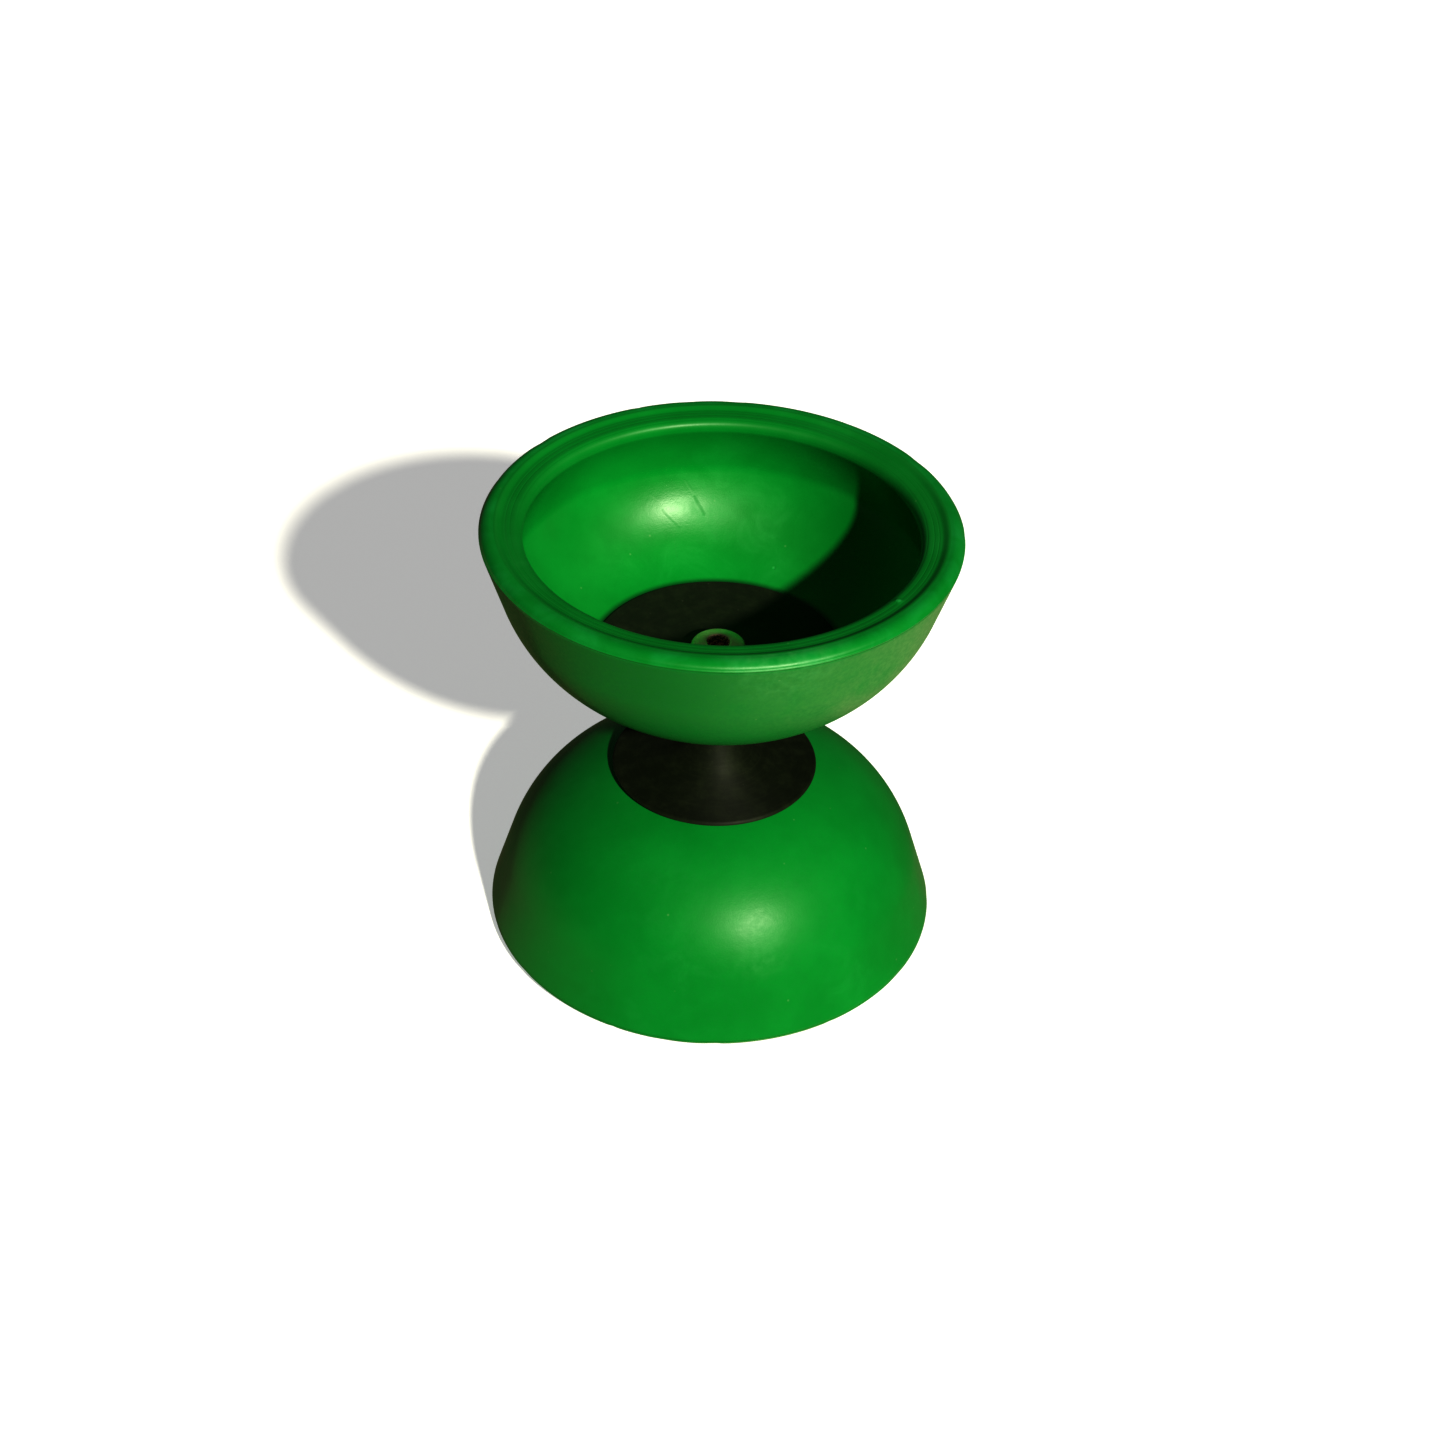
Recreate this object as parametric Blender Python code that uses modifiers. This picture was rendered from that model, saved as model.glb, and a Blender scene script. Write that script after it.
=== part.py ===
"""A diabolo: two soft cups clamped rim-outwards on a fixed axle.

Every length is in metres and +Z is up.  The half above the middle of the
axle is drawn once, with z measured from that middle; the lower half is the
same half turned over.  A turned outline is a list of (radius, z) points that
runs down the piece's outer side.
"""
import math

import bmesh
import bpy

MM = 0.001

# Driving dimensions
CUP_RADIUS = 59.0 * MM
HALF_HEIGHT = 60.25 * MM
GAP = 0.3 * MM                     # clearance between pieces that touch

# Cup: a flat floor, a round bell, an inner wall that leans back in and a stepped rim
WALL = 2.2 * MM
FLOOR_Z = 14.64 * MM
FLOOR_HOLE_RADIUS = 11.0 * MM
BELL_CENTRE = (12.37 * MM, 56.93 * MM)
BELL_RADIUS = 44.1 * MM
SKIRT_LEAN = math.radians(18.4)    # from the vertical
WIDEST_Z = 57.8 * MM
RIM_FLAT = (54.8 * MM, 55.7 * MM)  # inner and outer radius of the resting ring
SHELF_OUTER = (53.1 * MM, 59.5 * MM)
SHELF_INNER = (50.9 * MM, 59.3 * MM)
NOSE_ROUND = 2.5 * MM
NOSE_LOW_Z = 56.1 * MM
WALL_FOOT_RADIUS = 51.9 * MM

# Trumpet hub between the cup and the string
THROAT_RADIUS = 6.6 * MM
THROAT_Z = 4.2 * MM
FLANGE_RADIUS = 26.5 * MM
FLANGE_FACE_Z = 13.1 * MM
COLLAR_WALL = 2.2 * MM
SOCKET_FLOOR_Z = 14.0 * MM

# Axle: round string groove, flatted ends, tapped bores
SHOULDER_RADIUS = 6.2 * MM
SHOULDER_EDGE = 0.4 * MM
WAIST_RADIUS = 5.5 * MM
END_RADIUS = 5.4 * MM
END_HALF_FLATS = 5.0 * MM
BORE_DEPTH = 10.0 * MM

# Clamping disc inside the cup
DISC_RADIUS = 32.0 * MM
DISC_EDGE_Z = 20.8 * MM
DISC_MIDDLE_Z = 19.4 * MM
DISC_EDGE_ROUND = 0.8 * MM
WASHER_SEAT_Z = 18.5 * MM

# Washer and socket screw
WASHER_RADIUS = 7.5 * MM
WASHER_THICKNESS = 1.2 * MM
THREAD_RADIUS = 3.7 * MM
SCREW_TIP_Z = 4.6 * MM
HEAD_RADIUS = 7.0 * MM
HEAD_TOP_Z = 24.3 * MM
HEAD_CROWN = 0.5 * MM
HEAD_ROUND = 1.2 * MM
HEAD_ROUND_START = 80              # degrees; the crown meets the round edge here
TIP_CHAMFER = 0.5 * MM
SOCKET_FLATS = 5.0 * MM
SOCKET_DEPTH = 2.8 * MM
SOCKET_MOUTH_RADIUS = 3.1 * MM
SOCKET_CHAMFER = 0.35 * MM

# Facets round each turned piece
CUP_STEPS = 40
HUB_STEPS = 40
SMALL_STEPS = 24
SHARP_ANGLE = math.radians(35.0)


def clear_scene():
    """Remove every object that the file started with."""
    for old in list(bpy.data.objects):
        bpy.data.objects.remove(old, do_unlink=True)


def new_collection(name):
    """Make a collection in the scene."""
    collection = bpy.data.collections.new(name)
    bpy.context.scene.collection.children.link(collection)
    return collection


def make_material(name, colour, roughness, metallic):
    """Make a Principled material of one colour."""
    material = bpy.data.materials.new(name)
    material.use_nodes = True
    shader = material.node_tree.nodes["Principled BSDF"]
    shader.inputs["Base Color"].default_value = (*colour, 1.0)
    shader.inputs["Roughness"].default_value = roughness
    shader.inputs["Metallic"].default_value = metallic
    return material


def ellipse(centre, radii, start, end, steps):
    """Points on an ellipse from one angle to another, in degrees, ends included."""
    points = []
    for step in range(steps + 1):
        angle = math.radians(start + (end - start) * step / steps)
        across = centre[0] + radii[0] * math.cos(angle)
        along = centre[1] + radii[1] * math.sin(angle)
        points.append((across, along))
    return points


def mesh_object(name, mesh, collection):
    """Put a mesh in the scene as a named object."""
    piece = bpy.data.objects.new(name, mesh)
    collection.objects.link(piece)
    return piece


def turn(name, outline, collection, steps, closed):
    """Turn an outline about Z with a Screw modifier."""
    mesh = bpy.data.meshes.new(name)
    edges = [(i, i + 1) for i in range(len(outline) - 1)]
    if closed:
        edges.append((len(outline) - 1, 0))
    mesh.from_pydata([(radius, 0.0, z) for radius, z in outline], edges, [])
    piece = mesh_object(name, mesh, collection)
    screw = piece.modifiers.new("Turn", "SCREW")
    screw.axis = "Z"
    screw.angle = math.tau
    screw.steps = steps
    screw.render_steps = steps
    screw.use_merge_vertices = True
    screw.merge_threshold = 0.01 * MM
    return piece


def prism(name, radius, low, high, sides, collection, half_flats=None):
    """An upright prism; half_flats presses it to two flats across Y."""
    shape = bmesh.new()
    bmesh.ops.create_cone(
        shape, cap_ends=True, segments=sides, radius1=radius, radius2=radius, depth=high - low)
    for vertex in shape.verts:
        vertex.co.z += (low + high) / 2
        if half_flats is not None:
            vertex.co.y = max(-half_flats, min(half_flats, vertex.co.y))
    mesh = bpy.data.meshes.new(name)
    shape.to_mesh(mesh)
    shape.free()
    return mesh_object(name, mesh, collection)


def combine(piece, tool, operation):
    """Add or cut a tool shape with an exact Boolean."""
    tool.hide_render = True
    tool.display_type = "WIRE"
    boolean = piece.modifiers.new(tool.name, "BOOLEAN")
    boolean.operation = operation
    boolean.solver = "EXACT"
    boolean.object = tool


def smooth(piece):
    """Shade a round piece smooth and keep its real edges sharp."""
    graph = bpy.context.evaluated_depsgraph_get()
    evaluated = piece.evaluated_get(graph)
    mesh = bpy.data.meshes.new_from_object(evaluated, depsgraph=graph)
    mesh.shade_smooth()
    mesh.set_sharp_from_angle(angle=SHARP_ANGLE)
    mesh.name = piece.name
    piece.modifiers.clear()
    piece.data = mesh


def bell_angle(radius, z):
    """The angle in degrees at which a bell circle crosses a height."""
    return -math.degrees(math.asin((BELL_CENTRE[1] - z) / radius))


def cup_inside():
    """The inner side of a cup, from its floor up to the resting ring."""
    radius = BELL_RADIUS - WALL
    foot_angle = -math.degrees(math.acos((WALL_FOOT_RADIUS - BELL_CENTRE[0]) / radius))
    bell = ellipse(BELL_CENTRE, (radius, radius), bell_angle(radius, FLOOR_Z + WALL), foot_angle, 7)
    foot_radius, foot_z = bell[-1]
    lean_in = WALL_FOOT_RADIUS - SHELF_INNER[0] + NOSE_ROUND
    wall = []
    wall_steps = 4
    for step in range(1, wall_steps + 1):
        part = step / wall_steps
        wall.append((foot_radius - lean_in * part ** 2, foot_z + (NOSE_LOW_Z - foot_z) * part))
    nose = ellipse((SHELF_INNER[0], SHELF_INNER[1] - NOSE_ROUND), (NOSE_ROUND, NOSE_ROUND),
                   180, 90, 5)
    rise = []
    rise_steps = 4
    for step in range(rise_steps + 1):
        part = step / rise_steps
        swing = (1 - math.cos(math.pi * part)) / 2
        rise.append((SHELF_OUTER[0] + (RIM_FLAT[0] - SHELF_OUTER[0]) * part,
                     SHELF_OUTER[1] + (HALF_HEIGHT - SHELF_OUTER[1]) * swing))
    return bell + wall + nose + rise


def cup_outline():
    """The closed section of one cup."""
    rim_outer = RIM_FLAT[1]
    bead = ellipse((rim_outer, WIDEST_Z), (CUP_RADIUS - rim_outer, HALF_HEIGHT - WIDEST_Z),
                   90, 0, 5)
    skirt = ellipse(BELL_CENTRE, (BELL_RADIUS, BELL_RADIUS), -math.degrees(SKIRT_LEAN),
                    bell_angle(BELL_RADIUS, FLOOR_Z), 8)
    hole = [(FLOOR_HOLE_RADIUS, FLOOR_Z), (FLOOR_HOLE_RADIUS, FLOOR_Z + WALL)]
    return bead + skirt + hole + cup_inside()


def hub_outline():
    """The section of one hub, solid to the axis before its bore is cut."""
    collar_radius = FLOOR_HOLE_RADIUS - GAP
    collar_top = FLOOR_Z + WALL
    back = FLOOR_Z - GAP
    edge = (back - FLANGE_FACE_Z) / 2
    collar = [
        (0.0, SOCKET_FLOOR_Z),
        (collar_radius - COLLAR_WALL, SOCKET_FLOOR_Z),
        (collar_radius - COLLAR_WALL, collar_top),
        (collar_radius, collar_top),
        (collar_radius, back),
    ]
    rim = ellipse((FLANGE_RADIUS - edge, back - edge), (edge, edge), 90, -90, 4)
    trumpet = ellipse((FLANGE_RADIUS - edge, THROAT_Z),
                      (FLANGE_RADIUS - edge - THROAT_RADIUS, FLANGE_FACE_Z - THROAT_Z), 90, 180, 9)
    return collar + rim + trumpet[1:] + [(0.0, THROAT_Z)]


def disc_outline():
    """The closed section of one clamping disc."""
    hole = THREAD_RADIUS + GAP
    seat = WASHER_RADIUS + GAP
    boss = FLOOR_HOLE_RADIUS - GAP - COLLAR_WALL - GAP
    bell = BELL_RADIUS - WALL - GAP
    floor = FLOOR_Z + WALL + GAP
    edge_angle = -math.degrees(math.acos((DISC_RADIUS - BELL_CENTRE[0]) / bell))
    top = [(hole, WASHER_SEAT_Z), (seat, WASHER_SEAT_Z), (seat, DISC_MIDDLE_Z)]
    dish_depth = DISC_EDGE_Z - DISC_MIDDLE_Z
    dish_width = DISC_RADIUS - DISC_EDGE_ROUND - seat
    for part in (1 / 3, 2 / 3):
        top.append((seat + dish_width * part, DISC_MIDDLE_Z + dish_depth * part ** 2))
    edge = ellipse((DISC_RADIUS - DISC_EDGE_ROUND, DISC_EDGE_Z - DISC_EDGE_ROUND),
                   (DISC_EDGE_ROUND, DISC_EDGE_ROUND), 90, 0, 3)
    under = ellipse(BELL_CENTRE, (bell, bell), edge_angle, bell_angle(bell, floor), 3)
    socket = [(boss, floor), (boss, SOCKET_FLOOR_Z + GAP), (hole, SOCKET_FLOOR_Z + GAP)]
    return top + edge + under + socket


def washer_outline():
    """The closed section of one washer."""
    low = WASHER_SEAT_Z + GAP
    high = low + WASHER_THICKNESS
    hole = THREAD_RADIUS + GAP
    return [(hole, high), (WASHER_RADIUS, high), (WASHER_RADIUS, low), (hole, low)]


def screw_outline():
    """The section of one screw, before its socket is cut."""
    head_base = WASHER_SEAT_Z + WASHER_THICKNESS + 2 * GAP
    mouth = [
        (0.0, HEAD_TOP_Z - SOCKET_CHAMFER),
        (SOCKET_MOUTH_RADIUS - SOCKET_CHAMFER, HEAD_TOP_Z - SOCKET_CHAMFER),
        (SOCKET_MOUTH_RADIUS, HEAD_TOP_Z),
    ]
    shoulder_z = HEAD_TOP_Z - HEAD_CROWN
    shoulder = ellipse((HEAD_RADIUS - HEAD_ROUND, shoulder_z - HEAD_ROUND),
                       (HEAD_ROUND, HEAD_ROUND), HEAD_ROUND_START, 0, 3)
    shank = [
        (HEAD_RADIUS, head_base),
        (THREAD_RADIUS, head_base),
        (THREAD_RADIUS, SCREW_TIP_Z + TIP_CHAMFER),
        (THREAD_RADIUS - TIP_CHAMFER, SCREW_TIP_Z),
        (0.0, SCREW_TIP_Z),
    ]
    return mouth + shoulder + shank


def axle_outline():
    """The section of the axle's shoulders and string groove."""
    edge = THROAT_Z - GAP
    start = edge - SHOULDER_EDGE
    outline = [(0.0, edge), (SHOULDER_RADIUS, edge)]
    steps = 8
    for step in range(steps + 1):
        part = 1 - 2 * step / steps
        depth = (SHOULDER_RADIUS - WAIST_RADIUS) * (1 - part ** 2)
        outline.append((SHOULDER_RADIUS - depth, start * part))
    return outline + [(SHOULDER_RADIUS, -edge), (0.0, -edge)]


def make_axle(parts, tools):
    """The axle: a grooved spool on a flatted bar, tapped at both ends."""
    end = SOCKET_FLOOR_Z - GAP
    axle = turn("axle", axle_outline(), parts, SMALL_STEPS, False)
    bar = prism("axle_bar_tool", END_RADIUS, -end, end, SMALL_STEPS, tools, END_HALF_FLATS)
    combine(axle, bar, "UNION")
    bores = {"top": (end - BORE_DEPTH, end + MM), "bottom": (-end - MM, BORE_DEPTH - end)}
    for name, (low, high) in bores.items():
        bore = prism(f"axle_{name}_bore_tool", THREAD_RADIUS + GAP, low, high, SMALL_STEPS, tools)
        combine(axle, bore, "DIFFERENCE")
    return axle


def make_hub(name, parts, tools):
    """One trumpet hub with a flatted bore for the axle's end."""
    hub = turn(name, hub_outline(), parts, HUB_STEPS, False)
    bore = prism(f"{name}_bore_tool", END_RADIUS + GAP, THROAT_Z - MM, SOCKET_FLOOR_Z + MM,
                 SMALL_STEPS, tools, END_HALF_FLATS + GAP)
    combine(hub, bore, "DIFFERENCE")
    return hub


def make_screw(name, parts, tools):
    """One socket screw."""
    screw = turn(name, screw_outline(), parts, SMALL_STEPS, False)
    corner_radius = SOCKET_FLATS / math.sqrt(3)
    socket = prism(f"{name}_socket_tool", corner_radius, HEAD_TOP_Z - SOCKET_DEPTH,
                   HEAD_TOP_Z + MM, 6, tools)
    combine(screw, socket, "DIFFERENCE")
    return screw


def make_half(side, turned_over, centre, materials, parts, tools):
    """Every piece of one half, turned over for the lower one."""
    pieces = {
        "cup": turn(f"{side}_cup", cup_outline(), parts, CUP_STEPS, True),
        "hub": make_hub(f"{side}_hub", parts, tools),
        "disc": turn(f"{side}_clamp_disc", disc_outline(), parts, HUB_STEPS, True),
        "washer": turn(f"{side}_washer", washer_outline(), parts, SMALL_STEPS, True),
        "screw": make_screw(f"{side}_screw", parts, tools),
    }
    for kind, piece in pieces.items():
        smooth(piece)
        piece.data.materials.append(materials[kind])
        piece.parent = centre
        piece.rotation_euler.x = math.pi if turned_over else 0.0


def main():
    """Build the diabolo standing on its lower rim."""
    clear_scene()
    parts = new_collection("diabolo")
    tools = new_collection("cutters")
    materials = {
        "cup": make_material("green_rubber", (0.01, 0.27, 0.02), 0.35, 0.0),
        "hub": make_material("black_plastic", (0.012, 0.012, 0.012), 0.38, 0.0),
        "disc": make_material("black_disc_plastic", (0.014, 0.014, 0.013), 0.45, 0.0),
        "washer": make_material("washer_steel", (0.42, 0.41, 0.38), 0.4, 1.0),
        "screw": make_material("screw_steel", (0.38, 0.35, 0.26), 0.42, 1.0),
        "axle": make_material("axle_steel", (0.55, 0.55, 0.56), 0.25, 1.0),
    }
    centre = bpy.data.objects.new("axle_middle", None)
    centre.location = (0.0, 0.0, HALF_HEIGHT)
    parts.objects.link(centre)
    axle = make_axle(parts, tools)
    smooth(axle)
    axle.data.materials.append(materials["axle"])
    axle.parent = centre
    make_half("upper", False, centre, materials, parts, tools)
    make_half("lower", True, centre, materials, parts, tools)


main()
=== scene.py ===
"""The looks of the diabolo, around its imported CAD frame.

Lengths are in metres. Each half is drawn in a half frame, whose z runs from the
middle of the axle out to the rim; the lower half is the same thing turned over.
Every CAD node is replaced by a finer mesh that stays inside the CAD model's box.
"""
import math
import random

import bmesh
import bpy
from mathutils import Matrix, Vector


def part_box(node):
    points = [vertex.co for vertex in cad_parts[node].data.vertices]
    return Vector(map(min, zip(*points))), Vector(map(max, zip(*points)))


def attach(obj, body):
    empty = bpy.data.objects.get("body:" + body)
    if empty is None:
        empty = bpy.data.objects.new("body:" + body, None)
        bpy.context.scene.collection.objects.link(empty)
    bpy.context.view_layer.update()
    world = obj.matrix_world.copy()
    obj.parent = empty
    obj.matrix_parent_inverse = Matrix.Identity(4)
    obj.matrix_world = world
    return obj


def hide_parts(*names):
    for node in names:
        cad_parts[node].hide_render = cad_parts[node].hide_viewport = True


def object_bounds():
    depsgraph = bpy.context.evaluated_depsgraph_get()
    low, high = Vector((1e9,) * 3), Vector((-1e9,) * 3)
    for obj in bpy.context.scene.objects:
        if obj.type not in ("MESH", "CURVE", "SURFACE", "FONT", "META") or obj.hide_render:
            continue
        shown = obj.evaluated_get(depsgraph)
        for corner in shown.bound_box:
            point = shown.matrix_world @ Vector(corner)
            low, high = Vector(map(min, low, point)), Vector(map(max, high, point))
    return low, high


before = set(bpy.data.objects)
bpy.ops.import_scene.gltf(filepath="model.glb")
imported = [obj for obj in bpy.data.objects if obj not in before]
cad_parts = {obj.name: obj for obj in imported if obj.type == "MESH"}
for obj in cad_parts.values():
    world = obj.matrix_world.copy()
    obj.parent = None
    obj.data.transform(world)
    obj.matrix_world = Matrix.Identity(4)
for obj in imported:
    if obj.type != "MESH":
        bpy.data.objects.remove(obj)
CAD_LOW, CAD_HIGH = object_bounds()
MIDDLE = (CAD_LOW + CAD_HIGH) / 2
MM = 0.001
GAP = 0.3 * MM                      # clearance between pieces that touch


def half_sizes(node):
    """A node of the upper half: its radius, lowest z and highest z in the half frame."""
    low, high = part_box(node)
    return (high[0] - low[0]) / 2, low[2] - MIDDLE.z, high[2] - MIDDLE.z


# Sizes read from the frame
CUP_RADIUS, FLOOR_Z, RIM_Z = half_sizes("upper_cup")
FLANGE_RADIUS, THROAT_Z, COLLAR_Z = half_sizes("upper_hub")
DISC_RADIUS, BOSS_Z, DISC_EDGE_Z = half_sizes("upper_clamp_disc")
WASHER_RADIUS, WASHER_LOW_Z, WASHER_HIGH_Z = half_sizes("upper_washer")
HEAD_RADIUS, SCREW_TIP_Z, HEAD_TOP_Z = half_sizes("upper_screw")
SHOULDER_RADIUS, _, AXLE_END_Z = half_sizes("axle")

# Cup section, laid out from the cup's radius, rim and floor
WALL = 2.2 * MM
FLOOR_HOLE_RADIUS = 11.0 * MM
BELL_CENTRE = (CUP_RADIUS - 46.63 * MM, RIM_Z - 3.32 * MM)
BELL_RADIUS = 44.1 * MM
SKIRT_LEAN = 18.4                   # degrees from the vertical
OUTER_BEAD_WIDTH = 3.0 * MM
OUTER_BEAD_HEIGHT = 2.45 * MM
REST_WIDTH = 0.8 * MM               # flat ring that the diabolo stands on
PARTING_RIDGE = 0.13 * MM
PARTING_BELOW_RIM = 1.95 * MM
PARTING_HALF_WIDTH = 0.16 * MM
SHELF_OUTER = (CUP_RADIUS - 5.9 * MM, RIM_Z - 0.75 * MM)
SHELF_INNER = (CUP_RADIUS - 8.1 * MM, RIM_Z - 0.95 * MM)
NOSE_ROUND = 2.5 * MM
NOSE_LOW_Z = RIM_Z - 4.15 * MM
NOSE_UNDER_ROUND = 0.65 * MM
WALL_FOOT_ROUND = 1.5 * MM
WALL_FOOT_OVERLAP = 6               # bell points that the wall foot's rounding replaces
INNER_WALL_RADIUS = CUP_RADIUS - 7.1 * MM
LIP_LINE_RADII = (CUP_RADIUS - 9.2 * MM, CUP_RADIUS - 7.6 * MM, CUP_RADIUS - 6.4 * MM)
LIP_LINE_DEPTH = 0.05 * MM
LIP_LINE_HALF_WIDTH = 0.14 * MM
NUB_AZIMUTH = -35.8                 # degrees from +X
NUB_RADIUS = CUP_RADIUS - 7.5 * MM
NUB_SIZE = 0.85 * MM
NUB_HEIGHT = 0.7 * MM
NUB_REACH = 2.4                     # degrees either side of the nub with closer rings
NUB_RING_STEP = 0.15                # degrees between those rings
RIM_DEPTH = 8.0 * MM                # how far the nub and the knocks reach below the rim
KNOCK_SEED = 11
KNOCK_COUNT = 14
CORNER_SHADE_WIDTH = 1.8 * MM              # painted shade in the corner between bowl and disc
# A thin line of painted shade just under the parting ridge
RIDGE_SHADE_BELOW = 0.26 * MM
RIDGE_SHADE_HALF_WIDTH = 0.16 * MM

# Hub, disc and fastener details
THROAT_RADIUS = 6.6 * MM
COLLAR_WALL = 2.2 * MM
BACK_Z = FLOOR_Z - GAP
FLANGE_THICKNESS = 1.24 * MM
DISC_MIDDLE_Z = DISC_EDGE_Z - 1.4 * MM
DISC_EDGE_ROUND = 0.8 * MM
THREAD_RADIUS = 3.7 * MM
END_RADIUS = 5.4 * MM
END_HALF_FLATS = 5.0 * MM
BORE_DEPTH = 10.0 * MM
WAIST_RADIUS = 5.5 * MM
HEAD_CROWN = 0.5 * MM
HEAD_ROUND = 1.3 * MM
SOCKET_FLATS = 5.0 * MM
SOCKET_DEPTH = 2.8 * MM
SOCKET_MOUTH_RADIUS = 3.1 * MM
SOCKET_CHAMFER = 0.35 * MM
SOCKET_EDGE_WIDTH = 0.1 * MM
SOCKET_EDGE_DROP = 0.06 * MM
SCREW_TIP_CHAMFER = 0.5 * MM
AXLE_LAND = 0.4 * MM                # plain shoulder beside the string groove

# Rounding of small corners
FLOOR_HOLE_ROUND = 0.3 * MM
COLLAR_ROUND = 0.3 * MM
THROAT_ROUND = 0.25 * MM
DISC_ROUND = 0.2 * MM
WASHER_ROUND = 0.2 * MM
SHANK_ROUND = 0.15 * MM
SHOULDER_ROUND = 0.2 * MM

CUP_STEPS = 228                     # keeps each cup under 200,000 triangles
HUB_STEPS = 192
SMALL_STEPS = 96
SHARP_ANGLE = math.radians(35.0)


# --- outlines ---------------------------------------------------------------

def fractions(steps):
    """Even fractions from 0 to 1, ends included."""
    return [step / steps for step in range(steps + 1)]


def ellipse(centre, radii, start, end, steps):
    """Points on an ellipse from one angle to another, in degrees, ends included."""
    points = []
    for step in range(steps + 1):
        angle = math.radians(start + (end - start) * step / steps)
        across = centre[0] + radii[0] * math.cos(angle)
        along = centre[1] + radii[1] * math.sin(angle)
        points.append((across, along))
    return points


def straight(start, end, steps):
    """Points between two ends, without either end."""
    return [tuple(a + (b - a) * part for a, b in zip(start, end))
            for part in fractions(steps)[1:-1]]


def rounded(corners, radius, steps=4):
    """An open outline with its inner corners softened."""
    points = [corners[0]]
    for before, corner, after in zip(corners, corners[1:], corners[2:]):
        corner = Vector(corner)
        back = Vector(before) - corner
        ahead = Vector(after) - corner
        start = corner + back.normalized() * min(radius, back.length / 2)
        end = corner + ahead.normalized() * min(radius, ahead.length / 2)
        for part in fractions(steps):
            bend = start * (1 - part) ** 2 + corner * 2 * part * (1 - part) + end * part ** 2
            points.append(tuple(bend))
    points.append(corners[-1])
    return points


def hump(offset, half_width):
    """A smooth bump: 1 where the offset is nothing, 0 well away from it."""
    return math.exp(-(offset / half_width) ** 2)


def bell_angle(radius, z):
    """The angle in degrees at which a bell circle crosses a height."""
    return -math.degrees(math.asin((BELL_CENTRE[1] - z) / radius))


def cup_outside():
    """The outer side of a cup, from the resting ring down to the floor's hole."""
    bead_centre = (CUP_RADIUS - OUTER_BEAD_WIDTH, RIM_Z - OUTER_BEAD_HEIGHT)
    bead = ellipse(bead_centre, (OUTER_BEAD_WIDTH - PARTING_RIDGE, OUTER_BEAD_HEIGHT), 90, 0, 60)
    points = []
    for radius, z in bead:
        ridge = PARTING_RIDGE * hump(z - RIM_Z + PARTING_BELOW_RIM, PARTING_HALF_WIDTH)
        points.append((radius + ridge, z))
    bell = ellipse(BELL_CENTRE, (BELL_RADIUS, BELL_RADIUS), -SKIRT_LEAN,
                   bell_angle(BELL_RADIUS, FLOOR_Z), 72)
    return points + straight(bead[-1], bell[0], 24) + bell


def cup_floor():
    """The floor's underside, its hole and its upper side."""
    inner_floor = FLOOR_Z + WALL
    corners = [
        (FLOOR_HOLE_RADIUS + WALL, FLOOR_Z),
        (FLOOR_HOLE_RADIUS, FLOOR_Z),
        (FLOOR_HOLE_RADIUS, inner_floor),
        (FLOOR_HOLE_RADIUS + WALL, inner_floor),
    ]
    return rounded(corners, FLOOR_HOLE_ROUND)


def cup_inside():
    """The inner side of a cup, from its floor up to the resting ring."""
    inner_radius = BELL_RADIUS - WALL
    wall_angle = -math.degrees(math.acos((INNER_WALL_RADIUS - BELL_CENTRE[0]) / inner_radius))
    bell = ellipse(BELL_CENTRE, (inner_radius, inner_radius),
                   bell_angle(inner_radius, FLOOR_Z + WALL), wall_angle, 72)
    foot = bell[-1]
    nose_radius = SHELF_INNER[0] - NOSE_ROUND
    wall = [(foot[0] + (nose_radius - foot[0]) * part ** 2,
             foot[1] + (NOSE_LOW_Z - foot[1]) * part) for part in fractions(10)]
    kink = rounded([bell[-WALL_FOOT_OVERLAP], foot, wall[2]], WALL_FOOT_ROUND, 8)
    top = ellipse((SHELF_INNER[0], SHELF_INNER[1] - NOSE_ROUND),
                  (NOSE_ROUND, NOSE_ROUND), 180, 95, 40)
    nose = rounded([wall[-2], wall[-1], top[0]], NOSE_UNDER_ROUND, 6)
    shelf = straight(top[-1], SHELF_OUTER, 40)
    crest = (CUP_RADIUS - OUTER_BEAD_WIDTH - REST_WIDTH, RIM_Z)
    flank = []
    for part in fractions(40):
        swing = (1 - math.cos(math.pi * part)) / 2
        flank.append((SHELF_OUTER[0] + (crest[0] - SHELF_OUTER[0]) * part,
                      SHELF_OUTER[1] + (crest[1] - SHELF_OUTER[1]) * swing))
    lip = []
    for radius, z in top + shelf:
        cut = sum(hump(radius - line, LIP_LINE_HALF_WIDTH) for line in LIP_LINE_RADII)
        lip.append((radius, z - LIP_LINE_DEPTH * cut))
    return bell[:-WALL_FOOT_OVERLAP] + kink[:-1] + wall[2:-2] + nose[:-1] + lip + flank


def cup_outline():
    """The closed section of one cup."""
    return cup_outside() + cup_floor() + cup_inside()


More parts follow.
